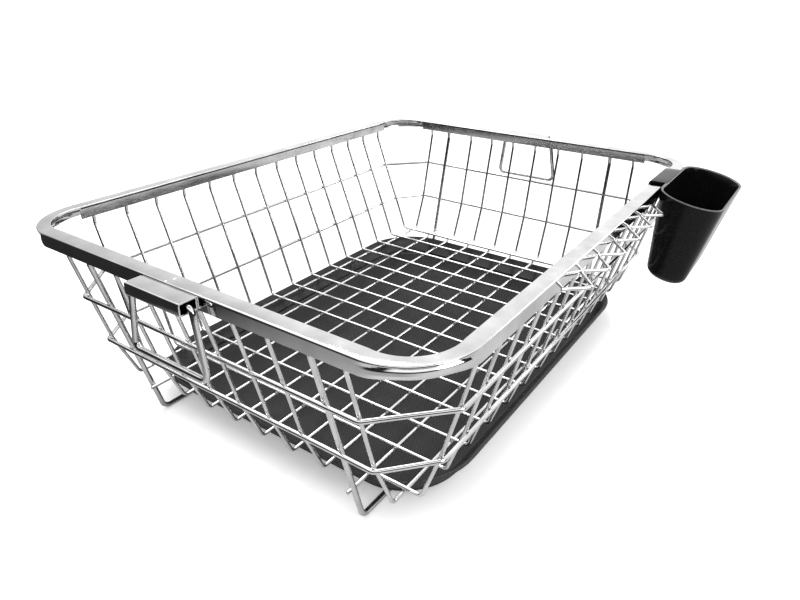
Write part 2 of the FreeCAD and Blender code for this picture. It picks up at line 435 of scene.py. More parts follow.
def make_piece(name: str, surface: Surface, finishes: list[bpy.types.Material], body: Body,
               stands_for: tuple[str, ...] = (), sharp_deg: float = 38.0) -> bpy.types.Object:
    """Make a mesh object, smooth but for its sharp edges, hang it on its body and hide the framed parts it
    stands for.

    Args:
        name: the piece's name.
        surface: its points and faces.
        finishes: its materials, by face group.
        body: the body it rides on.
        stands_for: framed parts that it is shown in place of.
        sharp_deg: faces that meet at more than this stay sharp.

    Returns:
        The object.
    """
    mesh = bpy.data.meshes.new(name)
    faces = [face for block in surface.faces for face in block.tolist()]
    mesh.from_pydata(surface.points.tolist(), [], faces)
    indices = np.repeat(surface.groups, [len(block) for block in surface.faces])
    mesh.polygons.foreach_set("material_index", indices.astype(np.int32))
    mesh.polygons.foreach_set("use_smooth", np.ones(len(faces), dtype=bool))
    for finish in finishes:
        mesh.materials.append(finish)
    mesh.set_sharp_from_angle(angle=math.radians(sharp_deg))
    mesh.validate()
    mesh.update()
    piece = bpy.data.objects.new(name, mesh)
    bpy.context.scene.collection.objects.link(piece)
    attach(piece, body.value)
    if stands_for:
        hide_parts(*stands_for)
    log.info("%s: %d faces, rides on %s", name, len(faces), body.value)
    return piece


# ------------------------------------------------------------------------------ bent wire
@dataclass(frozen=True)
class Span:
    """Lowest and highest corners of a framed part."""

    low: np.ndarray
    high: np.ndarray

    @classmethod
    def of(cls, node: str) -> "Span":
        """The span of a framed part."""
        low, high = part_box(node)
        return cls(np.array(low), np.array(high))

    @property
    def middle(self) -> np.ndarray:
        """Centre of the box."""
        return (self.low + self.high) / 2.0

    @property
    def size(self) -> np.ndarray:
        """Length of each side."""
        return self.high - self.low


@dataclass
class BentWire:
    """Round wire through corner points in one plane, with equal bends and cut ends."""

    corners: np.ndarray
    diameter: float
    bend_radius: float
    normal: tuple[float, float, float]
    closed: bool = False
    seed: int = 0
    waviness: float = 0.12 * MM
    sides: int = 14
    step: float = 5.0 * MM

    def centre_line(self) -> np.ndarray:
        """Points along the wire: straight runs, and arcs tangent to both runs at each corner.

        An arc's points are its centre plus its radius times the cosine and sine of evenly
        spaced angles, and a run's points are evenly spaced.

        Returns:
            (n, 3) points, with no point repeated at a closed wire's join.
        """
        corners = np.asarray(self.corners, dtype=float)
        count = len(corners)
        inner = range(count) if self.closed else range(1, count - 1)
        stretches = [] if self.closed else [corners[:1]]
        for k in inner:
            stretches.append(self._bend(corners[k - 1], corners[k], corners[(k + 1) % count]))
        if not self.closed:
            stretches.append(corners[-1:])
        line = []
        for k, stretch in enumerate(stretches):
            line.append(stretch)
            if k + 1 < len(stretches) or self.closed:
                following = stretches[(k + 1) % len(stretches)][0]
                gap = following - stretch[-1]
                cuts = max(int(np.linalg.norm(gap) / self.step), 1)
                shares = np.arange(1, cuts)[:, None] / cuts
                line.append(stretch[-1] + gap * shares)
        return np.concatenate(line)

    def _bend(self, before: np.ndarray, corner: np.ndarray, after: np.ndarray) -> np.ndarray:
        """Arc of the bend radius that touches both runs at a corner.

        Args:
            before: the point before the corner.
            corner: the corner.
            after: the point after it.

        Returns:
            (n, 3) points along the arc.
        """
        back = unit(before - corner)
        ahead = unit(after - corner)
        inside = math.acos(float(np.clip(back @ ahead, -1.0, 1.0)))
        turn = math.pi - inside
        centre = corner + unit(back + ahead) * self.bend_radius / math.sin(inside / 2.0)
        start = unit(corner + back * self.bend_radius * math.tan(turn / 2.0) - centre)
        rise = unit(-back - start * float(-back @ start))
        angles = np.linspace(0.0, turn, max(int(math.degrees(turn) / 9.0), 2) + 1)[:, None]
        return centre + self.bend_radius * (np.cos(angles) * start + np.sin(angles) * rise)

    def surface(self) -> Surface:
        """Circles about the centre line, their planes square to it.

        A circle's point is the centre plus the radius times the cosine of its angle along
        the side direction and the sine along the wire plane's normal. The centre line
        wanders by two slow sine waves, as straightened wire does. Cut ends are bevelled.

        Returns:
            The closed surface.
        """
        line = self.centre_line()
        normal = np.array(self.normal, dtype=float)
        if self.closed:
            tangent = unit(np.roll(line, -1, axis=0) - np.roll(line, 1, axis=0))
        else:
            tangent = unit(np.gradient(line, axis=0))
        side = unit(np.cross(normal, tangent))
        travel = np.concatenate([[0.0], np.cumsum(np.linalg.norm(np.diff(line, axis=0), axis=1))])
        phase = np.random.default_rng(self.seed).uniform(0.0, 2.0 * math.pi, 2)
        whole = travel[-1] + self.step
        waves = np.round(whole / np.array([0.17, 0.071]))
        wander = np.sin(2.0 * math.pi * travel / whole * waves[0] + phase[0])
        wander += 0.5 * np.sin(2.0 * math.pi * travel / whole * waves[1] + phase[1])
        line = line + side * (self.waviness * wander)[:, None]
        radius = np.full(len(line), self.diameter / 2.0)
        if not self.closed:
            bevel = self.diameter * 0.12
            line = np.concatenate([line[:1], line[:1] + tangent[:1] * bevel, line[1:-1],
                                   line[-1:] - tangent[-1:] * bevel, line[-1:]])
            side = np.concatenate([side[:1], side, side[-1:]])
            radius = np.concatenate([[radius[0] - bevel], radius, [radius[-1] - bevel]])
        angle = np.linspace(0.0, 2.0 * math.pi, self.sides, endpoint=False)[None, :, None]
        circle = np.cos(angle) * side[:, None, :] + np.sin(angle) * normal
        grid = line[:, None, :] + radius[:, None, None] * circle
        return ring_shell(grid) if self.closed else closed_shell(grid)


@dataclass
class Finishes:
    """Every finish on the rack, made once."""

    wire: bpy.types.Material = field(init=False)
    rim: bpy.types.Material = field(init=False)
    flange: bpy.types.Material = field(init=False)
    weave: bpy.types.Material = field(init=False)
    tray: bpy.types.Material = field(init=False)
    tray_wall_painted_shade: bpy.types.Material = field(init=False)
    cup: bpy.types.Material = field(init=False)
    cup_lip_highlight: bpy.types.Material = field(init=False)

    def __post_init__(self) -> None:
        """Make the materials."""
        self.wire = PolishedSteel("polished wire").material()
        self.rim = PolishedSteel("polished sheet", rough_low=0.05, rough_high=0.13,
                                 ripple_scale=18.0, ripple_strength=0.08).material()
        self.flange = PolishedSteel("rubbed sheet", rough_low=0.14, rough_high=0.24,
                                    ripple_scale=18.0, ripple_strength=0.03).material()
        self.weave = WovenPlastic("woven tray floor").material()
        self.tray = GlossPlastic("tray lip", body=(0.036, 0.036, 0.037), dust=(0.050, 0.050, 0.051),
                                 rough_low=0.5, rough_high=0.65, shine=0.3).material()
        # inner wall: the tray's own plastic made glossier, with its colour painted near black as painted
        # shade on the inner wall
        self.tray_wall_painted_shade = GlossPlastic("tray wall painted shade", body=(0.008, 0.008, 0.0083), rough_low=0.2,
                                      rough_high=0.34).material()
        self.cup = GlossPlastic("cup moulding", shine=0.14).material()
        # the lip: the cup's black plastic painted mid grey as a painted highlight along the rounded lip;
        # the specks are dust
        self.cup_lip_highlight = GlossPlastic("cup lip painted highlight", body=(0.12, 0.12, 0.122), dust=(0.16, 0.16, 0.16),
                                    rough_low=0.3, rough_high=0.45).material()


# ------------------------------------------------------------------------------ the basket
@dataclass
class WireBasket:
    """The welded wires: floor grid, sloping walls, runners, rings and hanging rail."""

    break_z: float = 124.0 * MM
    front_foot: float = 124.0 * MM
    front_ring: float = 136.1 * MM
    back_foot: float = 120.5 * MM
    back_ring: float = 131.6 * MM
    short_side_foot: float = 172.0 * MM
    short_side_ring: float = 186.6 * MM
    grid_bend: float = 4.0 * MM
    runner_bend: float = 6.0 * MM
    ring_bend: float = 5.0 * MM
    ring_overrun: float = 1.5 * MM
    rail_diameter: float = 2.2 * MM
    rail_bend: float = 3.0 * MM
    rail_teeth: int = 6
    rail_reach: float = 12.5 * MM
    rail_tuck: float = 1.0 * MM
    rail_end_share: float = 0.72
    weld_swell: float = 0.08 * MM

    def build(self, finishes: Finishes) -> None:
        """Make every wire and the welds between them."""
        for number in range(1, CROSS_COUNT + 1):
            self._cross_wire(number, finishes)
        for number in range(1, LONG_COUNT + 1):
            if number in RUNNER_NUMBERS:
                self._runner(number, finishes)
                self._floor_wire(number, finishes)
            else:
                self._long_wire(number, finishes)
        self._rings(finishes)
        self._rail(finishes)
        self._welds(finishes)

    def _dress(self, node: str, wire: BentWire, finishes: Finishes) -> None:
        """Make the piece that is shown for one wire."""
        make_piece(node + "_bent", wire.surface(), [finishes.wire], Body.BASKET, (node,))

    def _cross_wire(self, number: int, finishes: Finishes) -> None:
        """A U-shaped wire across the rack."""
        node = "cross_wire_%02d" % number
        span = Span.of(node)
        radius = span.size[0] / 2.0
        x = span.middle[0]
        top_y = span.high[1] - radius
        floor_z = span.low[2] + radius
        ring_z = Span.of("lower_ring").middle[2]
        corners = np.array([(x, top_y, span.high[2]), (x, top_y, self.break_z), (x, self.back_ring, ring_z),
                            (x, self.back_foot, floor_z), (x, -self.front_foot, floor_z),
                            (x, -self.front_ring, ring_z), (x, -top_y, self.break_z),
                            (x, -top_y, span.high[2])])
        wire = BentWire(corners, span.size[0], self.grid_bend, (1, 0, 0), seed=number)
        self._dress(node, wire, finishes)

    def _long_points(self, span: Span, foot: tuple[float, float], radius: float,
                     inset: float) -> np.ndarray:
        """Corner points of a U-shaped wire along the rack.

        Args:
            span: the framed wire's box.
            foot: half length and height where the wire turns.
            radius: the wire's radius.
            inset: how far in a thicker wire's legs lie; when it is not zero, the ring corner is left out.

        Returns:
            (n, 3) corner points.
        """
        y = span.middle[1]
        top_x = span.high[0] - radius
        ring_z = Span.of("lower_ring").middle[2]
        half = [(-top_x, y, span.high[2]), (-top_x, y, self.break_z)]
        if inset == 0.0:
            half.append((-self.short_side_ring, y, ring_z))
        half.append((-foot[0], y, foot[1]))
        return np.array(half + [(-x, y, z) for x, y, z in reversed(half)])

    def _long_wire(self, number: int, finishes: Finishes) -> None:
        """A U-shaped wire along the rack, under the cross wires."""
        node = "long_wire_%02d" % number
        span = Span.of(node)
        radius = span.size[1] / 2.0
        foot = (self.short_side_foot, span.low[2] + radius)
        corners = self._long_points(span, foot, radius, 0.0)
        wire = BentWire(corners, span.size[1], self.grid_bend, (0, 1, 0), seed=20 + number)
        self._dress(node, wire, finishes)

    def _runner(self, number: int, finishes: Finishes) -> None:
        """A thick wire that passes the floor and turns under the tray."""
        node = "runner_wire_%02d" % number
        span = Span.of(node)
        radius = span.size[1] / 2.0
        grid_radius = Span.of("cross_wire_01").size[0] / 2.0
        top_x = span.high[0] - radius
        outer_x = Span.of("long_wire_01").high[0] - grid_radius
        ring_z = Span.of("lower_ring").middle[2]
        slope = (outer_x - self.short_side_ring) / (self.break_z - ring_z)
        foot_x = top_x - slope * (self.break_z - radius)
        corners = self._long_points(span, (foot_x, radius), radius, outer_x - top_x)
        wire = BentWire(corners, span.size[1], self.runner_bend, (0, 1, 0), waviness=0.0)
        self._dress(node, wire, finishes)

    def _floor_wire(self, number: int, finishes: Finishes) -> None:
        """A straight floor wire beside a runner's legs."""
        node = "floor_wire_%02d" % number
        span = Span.of(node)
        ends = np.array([(span.low[0], span.middle[1], span.middle[2]),
                         (span.high[0], span.middle[1], span.middle[2])])
        wire = BentWire(ends, span.size[1], self.grid_bend, (0, 1, 0), seed=60 + number)
        self._dress(node, wire, finishes)

    def _rings(self, finishes: Finishes) -> None:
        """The two closed rings outside the walls, cut straight across the corners."""
        last_x = Span.of("cross_wire_%02d" % CROSS_COUNT).middle[0] + self.ring_overrun
        last_y = Span.of("long_wire_01").middle[1] + self.ring_overrun
        for seed, node in enumerate(("upper_ring", "lower_ring")):
            span = Span.of(node)
            diameter = span.size[2]
            x, back = span.high[:2] - diameter / 2.0
            front = span.low[1] + diameter / 2.0
            z = span.middle[2]
            corners = np.array([(-x, -last_y, z), (-x, last_y, z), (-last_x, back, z), (last_x, back, z),
                                (x, last_y, z), (x, -last_y, z), (last_x, front, z), (-last_x, front, z)])
            wire = BentWire(corners, diameter, self.ring_bend, (0, 0, 1), closed=True, seed=80 + seed)
            self._dress(node, wire, finishes)

    def _rail(self, finishes: Finishes) -> None:
        """The zigzag under the front edge of the rim."""
        node = "hanging_rail"
        span = Span.of(node)
        radius = self.rail_diameter / 2.0
        rim = Span.of("rim_band")
        ends = np.array([span.low[0], span.high[0]]) + np.array([1.0, -1.0]) * radius * self.rail_end_share
        x = np.linspace(ends[0], ends[1], 2 * self.rail_teeth + 1)
        inside = np.arange(x.size) % 2 == 0
        y = np.where(inside, rim.low[1] + self.rail_tuck, rim.low[1] - self.rail_reach)
        z = np.where(inside, span.high[2] - radius, span.low[2] + radius)
        wire = BentWire(np.stack([x, y, z], axis=1), self.rail_diameter, self.rail_bend, (0, 0, 1),
                        seed=90, waviness=0.0, step=3.0 * MM)
        self._dress(node, wire, finishes)

    def _welds(self, finishes: Finishes) -> None:
        """A small squashed bead of metal at every crossing.

        A bead is a unit ball, scaled to the bead's half sizes and moved to each crossing in
        one broadcast sum.
        """
        centres = np.concatenate([self._floor_crossings(), self._ring_crossings()])
        rows, columns = 5, 8
        polar = np.linspace(0.12, math.pi - 0.12, rows)[:, None]
        around = np.linspace(0.0, 2.0 * math.pi, columns, endpoint=False)[None, :]
        ball = np.stack([np.sin(polar) * np.cos(around), np.sin(polar) * np.sin(around),
                         np.cos(polar) + 0.0 * around], axis=-1)
        grain = np.random.default_rng(7).uniform(0.85, 1.15, (len(centres), 1, 1, 3))
        radius = Span.of("cross_wire_01").size[0] / 2.0 + self.weld_swell
        beads = centres[:, None, None, :] + ball[None] * radius * grain
        surface = Surface.joined([closed_shell(bead) for bead in beads])
        make_piece("weld_beads", surface, [finishes.wire], Body.BASKET)

    def _floor_crossings(self) -> np.ndarray:
        """Where the cross wires lie on the lengthwise wires.

        Returns:
            (n, 3) points, midway between the two wires' centre lines.
        """
        x = np.array([Span.of("cross_wire_%02d" % k).middle[0] for k in range(1, CROSS_COUNT + 1)])
        names = ["floor_wire_%02d" % k if k in RUNNER_NUMBERS else "long_wire_%02d" % k
                 for k in range(1, LONG_COUNT + 1)]
        y = np.array([Span.of(name).middle[1] for name in names])
        z = Span.of("cross_wire_01").low[2]
        grid_x, grid_y = np.meshgrid(x, y)
        return np.stack([grid_x.ravel(), grid_y.ravel(), np.full(grid_x.size, z)], axis=1)

    def _ring_crossings(self) -> np.ndarray:
        """Where the rings touch the wall wires.

        Returns:
            (n, 3) points, at the inner side of each ring.
        """
        x = np.array([Span.of("cross_wire_%02d" % k).middle[0] for k in range(1, CROSS_COUNT + 1)])
        names = ["runner_wire_%02d" % k if k in RUNNER_NUMBERS else "long_wire_%02d" % k
                 for k in range(1, LONG_COUNT + 1)]
        y = np.array([Span.of(name).middle[1] for name in names])
        points = []
        for node in ("upper_ring", "lower_ring"):
            span = Span.of(node)
            low, high = span.low + span.size[2], span.high - span.size[2]
            z = span.middle[2]
            for side_x, side_y in ((low[0], low[1]), (high[0], high[1])):
                points.append(np.stack([x, np.full(x.size, side_y), np.full(x.size, z)], axis=1))
                points.append(np.stack([np.full(y.size, side_x), y, np.full(y.size, z)], axis=1))
        return np.concatenate(points)


# ------------------------------------------------------------------------------ the rim
@dataclass
class SheetRim:
    """Folded band round the top: flat face, outer wall, creased corners, inner flanges."""

    face_width: float = 9.8 * MM
    sheet: float = 1.0 * MM
    corner_radius: float = 40.0 * MM
    corner_ease: float = 3.9 * MM
    edge_break: float = 0.3 * MM
    shoulder: float = 1.1 * MM
    crease_drops_mm: tuple[float, ...] = (0.0, 1.0, 1.9, 2.8, 3.5, 4.3, 6.5, 8.0, 8.8)
    crease_insets_mm: tuple[float, ...] = (0.0, 0.1, 1.3, 3.2, 2.7, 2.0, 1.8, 2.2, 3.2)
    crease_fade_deg: float = 30.0
    seam_y: float = 6.0 * MM

    def build(self, finishes: Finishes) -> None:
        """Make the band with its flanges, and the weld seam across its face."""
        span = Span.of("rim_band")
        band = self._band(span)
        flanges = [self._flange(span, turn) for turn in range(4)]
        for flange in flanges:
            flange.groups = [1] * len(flange.faces)
        surface = Surface.joined([band] + flanges)
        make_piece("rim_folded", surface, [finishes.rim, finishes.flange], Body.BASKET,
                   ("rim_band",))
        self._seam(span, finishes)

    def _outline(self, half_x: float, half_y: float) -> tuple[np.ndarray, np.ndarray, np.ndarray]:
        """Points round a rounded rectangle, with outward directions and a corner measure.

        The corner measure is 0 on the straights and rises smoothly to 1 in the middle
        stretch of each round corner.

        Args:
            half_x: half length outside.
            half_y: half width outside.

        Returns:
            (n, 2) points, (n, 2) outward directions and (n,) corner measures.
        """
        radius = self.corner_radius
        arc = np.linspace(0.0, math.pi / 2.0, 37)
        from_end = np.minimum(arc, arc[::-1]) / math.radians(self.crease_fade_deg)
        share = np.clip(from_end, 0.0, 1.0)
        points, outward, measure = [], [], []
        straights = (2.0 * (half_x - radius), 2.0 * (half_y - radius))
        centres = np.array([(1, 1), (-1, 1), (-1, -1), (1, -1)]) * (half_x - radius, half_y - radius)
        for corner in range(4):
            angle = arc + corner * math.pi / 2.0
            direction = np.stack([np.cos(angle), np.sin(angle)], axis=1)
            points.append(centres[corner] + radius * direction)
            outward.append(direction)
            measure.append(share * share * (3.0 - 2.0 * share))
            length = straights[corner % 2]
            along = direction[-1] @ np.array([[0.0, 1.0], [-1.0, 0.0]])
            travel = np.linspace(0.0, length, 32)[1:-1]
            points.append(points[-1][-1] + travel[:, None] * along)
            outward.append(np.repeat(direction[-1:], travel.size, axis=0))
            measure.append(np.zeros(travel.size))
        return np.concatenate(points), np.concatenate(outward), np.concatenate(measure)

    def _profile(self, depth: float) -> tuple[np.ndarray, np.ndarray]:
        """The folded section, from the wall's foot outside, over the top and back inside.

        Args:
            depth: height of the outer wall.

        Returns:
            Insets from the outer wall and drops from the top face.
        """
        quarter = np.linspace(0.0, math.pi / 2.0, 7)
        r = self.shoulder
        edge = self.sheet * 0.45
        t = self.sheet
        wall = np.linspace(depth - self.edge_break, r, 22)
        inset = [np.full(1, self.edge_break), np.zeros(wall.size), r - r * np.cos(quarter[1:]),
                 self.face_width - edge + edge * np.sin(quarter),
                 np.array([self.face_width, self.face_width - self.edge_break]),
                 np.full(wall.size, t), np.array([t - self.edge_break])]
        drop = [np.full(1, depth), wall, r - r * np.sin(quarter[1:]),
                edge - edge * np.cos(quarter),
                np.array([1.6 * t, 1.6 * t]),
                np.clip(wall[::-1], 1.1 * t, None), np.array([depth])]
        return np.concatenate(inset), np.concatenate(drop)

    def _band(self, span: Span) -> Surface:
        """The band: the section carried round the outline, and creased at the corners.

        On the corners the wall moves in by a crease read off between a few heights, and the
        face narrows by the ease times (|cos| + |sin| - 1) of the outward direction.

        Args:
            span: the framed rim's box.

        Returns:
            The closed surface.
        """
        points, outward, measure = self._outline(span.high[0], span.high[1])
        inset, drop = self._profile(span.size[2])
        crease = np.interp(drop, np.array(self.crease_drops_mm) * MM, np.array(self.crease_insets_mm) * MM)
        moved = np.where(inset < self.face_width / 2.0, crease, 0.0)
        lean = np.abs(outward).sum(axis=1) - 1.0
        eased = np.where(inset >= self.face_width / 2.0, self.corner_ease, 0.0)
        total = inset[None, :] + measure[:, None] * moved[None, :] - lean[:, None] * eased[None, :]
        plan = points[:, None, :] - outward[:, None, :] * total[:, :, None]
        height = np.broadcast_to(span.high[2] - drop, total.shape)
        return ring_shell(np.concatenate([plan, height[:, :, None]], axis=2))

    def _flange(self, span: Span, turn: int) -> Surface:
        """The inner flange of one straight, with rounded edges and ends.

        Its section is a flat loop; the same loop is repeated along the straight, and it
        shrinks a little over the last millimetre at each end.

        Args:
            span: the framed rim's box.
            turn: quarter turns from the +X side.

        Returns:
            The closed surface.
        """
        half = span.high[:2] if turn % 2 == 0 else span.high[:2][::-1]
        reach = half[1] - self.corner_radius
        t = self.sheet
        low = span.size[2]
        angle = np.linspace(0.0, math.pi, 9)
        inset = np.concatenate([self.face_width - t / 2 + t / 2 * np.cos(angle),
                                [self.face_width - t, self.face_width]])
        drop = np.concatenate([low - t / 2 + t / 2 * np.sin(angle), [0.7 * t, 0.7 * t]])
        stations = np.concatenate([[-reach, -reach + 0.4 * MM], np.linspace(-reach + t, reach - t, 24),
                                   [reach - 0.4 * MM, reach]])
        shrink = np.zeros(stations.size)
        shrink[[0, -1]] = 1.0
        middle = np.array([inset.mean(), drop.mean()])
        inset_grid = inset[None, :] + shrink[:, None] * 0.12 * (middle[0] - inset[None, :])
        drop_grid = drop[None, :] + shrink[:, None] * 0.05 * (middle[1] - drop[None, :])
        across = half[0] - inset_grid
        along = np.broadcast_to(stations[:, None], across.shape)
        cosine, sine = math.cos(turn * math.pi / 2), math.sin(turn * math.pi / 2)
        grid = np.stack([across * cosine - along * sine, across * sine + along * cosine,
                         span.high[2] - drop_grid], axis=2)
        return closed_shell(grid)

    def _seam(self, span: Span, finishes: Finishes) -> None:
        """The dressed weld where the band's two ends meet, across the left side's face.

        The seam is a low tube sunk in the face. Its radius is the sum of two bells, so two
        short mounds stand out: one near the outer edge and one past the middle.
        """
        columns, rows = 9, 41
        share = np.linspace(0.0, 1.0, rows)[:, None]
        angle = np.linspace(0.0, 2.0 * math.pi, columns, endpoint=False)[None, :]
        wobble = 0.25 * MM * np.sin(9.0 * share)
        swell = 0.1 + np.exp(-((share - 0.10) / 0.06) ** 2) + np.exp(-((share - 0.62) / 0.12) ** 2)
        x = span.low[0] + self.shoulder * 0.6 + share * (self.face_width - self.shoulder)
        y = self.seam_y - 2.0 * MM * share + wobble + 0.55 * MM * swell * np.cos(angle)
        z = span.high[2] - 0.06 * MM + 0.20 * MM * swell * np.sin(angle)
        grid = np.stack([x + 0.0 * angle, y, z], axis=2)
        make_piece("rim_seam", closed_shell(grid), [finishes.rim], Body.BASKET)


# ------------------------------------------------------------------------------ handles
@dataclass
class SwingHandle:
    """A sheet bracket on a short side, and the wire bail that swings in it."""

    side: Side
    body: Body
    sheet: float = 1.0 * MM
    fold: float = 1.1 * MM
    bail_bend: float = 4.5 * MM
    pin_length: float = 8.0 * MM
    foot_half: float = 31.0 * MM
    side_gap: float = 0.7 * MM

    def build(self, finishes: Finishes) -> None:
        """Make the bracket and the bail."""
        prefix = "left" if self.side is Side.LEFT else "right"
        self._bracket(prefix + "_handle_bracket", finishes)
        self._bail(prefix, finishes)

    def _bracket(self, node: str, finishes: Finishes) -> None:
        """A folded tube, open at both ends: a rounded outer loop and a smaller inner one.

        The outer loop is carried from end to end, the inner one back again, and the two
        are joined by the sheet's edges, so the grid wraps both ways.
        """
        span = Span.of(node)
        outer = self._loop(span, 0.0)
        inner = self._loop(span, self.sheet)
        edge = 0.2 * MM
        y = span.low[1], span.high[1]
        stations = [(outer, y[0] + edge), (outer, (y[0] + y[1]) / 2.0), (outer, y[1] - edge),
                    (self._loop(span, edge), y[1]), (self._loop(span, self.sheet - edge), y[1]),
                    (inner, y[1] - edge), (inner, (y[0] + y[1]) / 2.0), (inner, y[0] + edge),
                    (self._loop(span, self.sheet - edge), y[0]), (self._loop(span, edge), y[0])]
        grid = np.stack([np.stack([loop[:, 0], np.full(len(loop), place), loop[:, 1]], axis=1)
                         for loop, place in stations])
        make_piece(node + "_folded", ring_shell(grid), [finishes.rim], Body.BASKET, (node,))

    def _loop(self, span: Span, inset: float) -> np.ndarray:
        """A rounded rectangle in the XZ plane.

        Args:
            span: the framed bracket's box.
            inset: how far inside the box the loop lies.

        Returns:
            (n, 2) points.
        """
        radius = max(self.fold - inset, 0.15 * MM)
        half_x = span.size[0] / 2.0 - inset - radius
        half_z = span.size[2] / 2.0 - inset - radius
        angle = np.linspace(0.0, math.pi / 2.0, 6)[None, :] + np.arange(4)[:, None] * math.pi / 2.0
        signs = np.array([(1, 1), (-1, 1), (-1, -1), (1, -1)])
        x = span.middle[0] + signs[:, :1] * half_x + radius * np.cos(angle)
        z = span.middle[2] + signs[:, 1:] * half_z + radius * np.sin(angle)
        return np.stack([x.ravel(), z.ravel()], axis=1)

    def _bail(self, prefix: str, finishes: Finishes) -> None:
        """The wire bail: two turned-in ends, two legs that spread, and a straight bar."""
        node = prefix + "_bail_handle"
        span = Span.of(node)
        diameter = span.size[0]
        x, y, _ = span.middle
        bracket = Span.of(prefix + "_handle_bracket")
        pivot = bracket.middle[2]
        leg = bracket.size[1] / 2.0 + self.side_gap + diameter / 2.0
        low = span.low[2] + diameter / 2.0
        half = [(x, y + leg - self.pin_length, pivot), (x, y + leg, pivot), (x, y + self.foot_half, low)]
        other = [(x, 2.0 * y - place, z) for _, place, z in reversed(half)]
        wire = BentWire(np.array(half + other), diameter, self.bail_bend, (1, 0, 0), waviness=0.0,
                        sides=20, step=3.0 * MM)
        make_piece(node + "_bent", wire.surface(), [finishes.wire], self.body, (node,))


# ------------------------------------------------------------------------------ drip tray
@dataclass
class DripTray:
    """Shallow moulded tray with a rounded lip and a woven floor."""

    wall: float = 1.8 * MM
    corner_radius: float = 50.0 * MM
    lip_radius: float = 1.2 * MM
    lip_drop: float = 3.6 * MM
    flare: float = 10.0 * MM
    foot_radius: float = 3.0 * MM
    floor_rows: tuple[float, float] = (26.0 * MM, 14.0 * MM)

    def build(self, finishes: Finishes) -> None:
        """Make the tray."""
        span = Span.of("drip_tray")
        inset, height, wall_from, floor_from = self._profile(span)
        grid = self._carry(span, inset, height)
        shell = closed_shell(grid)
        quads, start, end = shell.faces
        wall, floor = wall_from * grid.shape[1], floor_from * grid.shape[1]
        # the inner wall's faces take the near-black copy of the tray plastic: painted shade
        surface = Surface(shell.points, [quads[:wall], quads[wall:floor], quads[floor:], start, end],
                          [0, 2, 1, 0, 1])
        make_piece("drip_tray_moulded", surface, [finishes.tray, finishes.weave, finishes.tray_wall_painted_shade],
                   Body.TRAY, ("drip_tray",))

    def _profile(self, span: Span) -> tuple[np.ndarray, np.ndarray, int, int]:
        """Insets from the lip's edge and heights, from under the base, over the lip, inside.

        Args:
            span: the framed tray's box.

        Returns:
            Insets, heights, and the rows at which the inner wall and the woven floor start.
        """
        base, top = span.low[2], span.high[2]
        flare, lip, t = self.flare, self.lip_radius, self.wall
        quarter = np.linspace(0.0, math.pi / 2.0, 6)
        half = np.linspace(0.0, math.pi, 9)
        r = self.foot_radius
        floor_reach = np.array(self.floor_rows)
        outer_foot = flare + r - r * np.sin(quarter)
        inner_foot = flare + t + r - r * np.cos(quarter)
        inset = np.concatenate([flare + floor_reach, outer_foot, [flare * 0.45, 2.0 * lip],
                                lip - lip * np.sin(half), [2.0 * lip + t, flare * 0.45 + t],
                                inner_foot, flare + floor_reach[::-1]])
        height = np.concatenate([np.full(2, base), base + r - r * np.cos(quarter),
                                 [top - self.lip_drop * 2.0, top - self.lip_drop],
                                 top - lip - lip * np.cos(half),
                                 [top - self.lip_drop, top - self.lip_drop * 2.0],
                                 base + t + r - r * np.sin(quarter), np.full(2, base + t)])
        floor_from = inset.size - 4
        return inset, height, floor_from - inner_foot.size, floor_from

    def _carry(self, span: Span, inset: np.ndarray, height: np.ndarray) -> np.ndarray:
        """Carry the section round the lip's rounded-rectangle outline.

        A point is the outline's point moved inwards by the inset. The outline's corner
        radius shrinks with the inset but never below a quarter of itself.

        Args:
            span: the framed tray's box.
            inset: insets down the section.
            height: heights down the section.

        Returns:
            (rows, columns, 3) points.
        """
        radius = np.maximum(self.corner_radius - inset, self.corner_radius * 0.25)[:, None, None]
        angle = np.linspace(0.0, math.pi / 2.0, 15)[None, :] + np.arange(4)[:, None] * math.pi / 2.0
        signs = np.array([(1, 1), (-1, 1), (-1, -1), (1, -1)])
        half_x = span.size[0] / 2.0 - inset[:, None, None] - radius
        half_y = span.size[1] / 2.0 - inset[:, None, None] - radius
        x = span.middle[0] + signs[None, :, :1] * half_x + radius * np.cos(angle)[None]
        y = span.middle[1] + signs[None, :, 1:] * half_y + radius * np.sin(angle)[None]
        z = np.broadcast_to(height[:, None, None], x.shape)
        return np.stack([x, y, z], axis=-1).reshape(inset.size, -1, 3)


